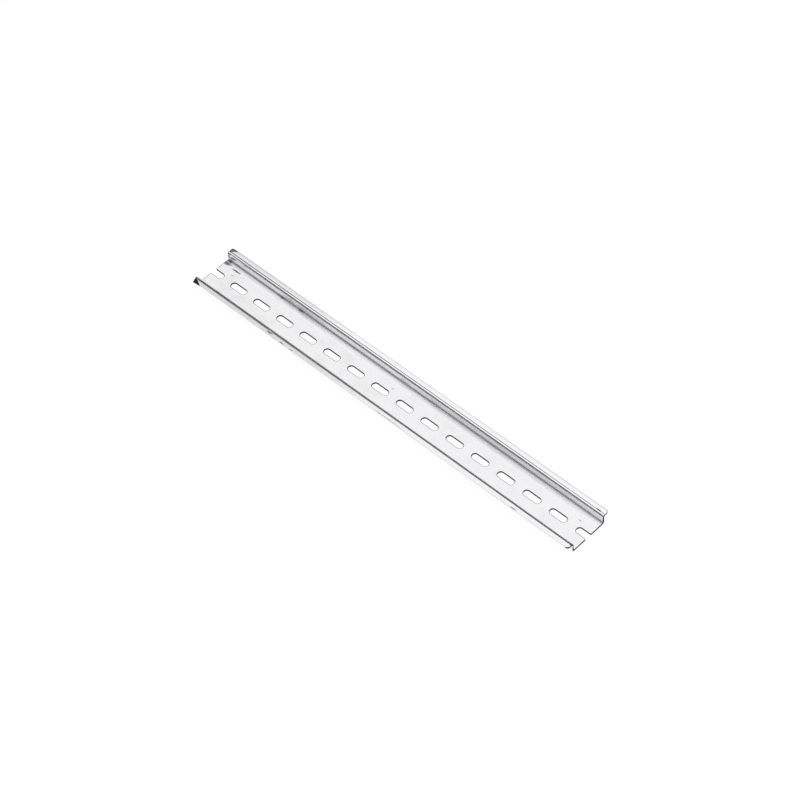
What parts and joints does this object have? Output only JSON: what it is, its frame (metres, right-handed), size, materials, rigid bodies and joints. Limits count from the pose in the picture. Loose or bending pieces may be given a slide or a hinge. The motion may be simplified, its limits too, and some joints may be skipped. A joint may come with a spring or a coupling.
{
  "type": "din rail",
  "caption": "Slotted top-hat mounting rail of bright zinc-plated steel, 35 mm wide, for clip-on electrical devices; screw slots run along the web.",
  "frame": {"origin": "on the flat back of the web, in the middle of the length and the width", "axes": "+X along the length, +Y across the width, +Z out of the open channel, from the web to the flanges"},
  "size_m": [0.305, 0.035, 0.0075],
  "materials": {
    "zinc_plate": "bright zinc plated and clear passivated, with fine rolling lines along the strip"
  },
  "bodies": {
    "root": {"rail": "zinc_plate"}
  },
  "joints": []
}
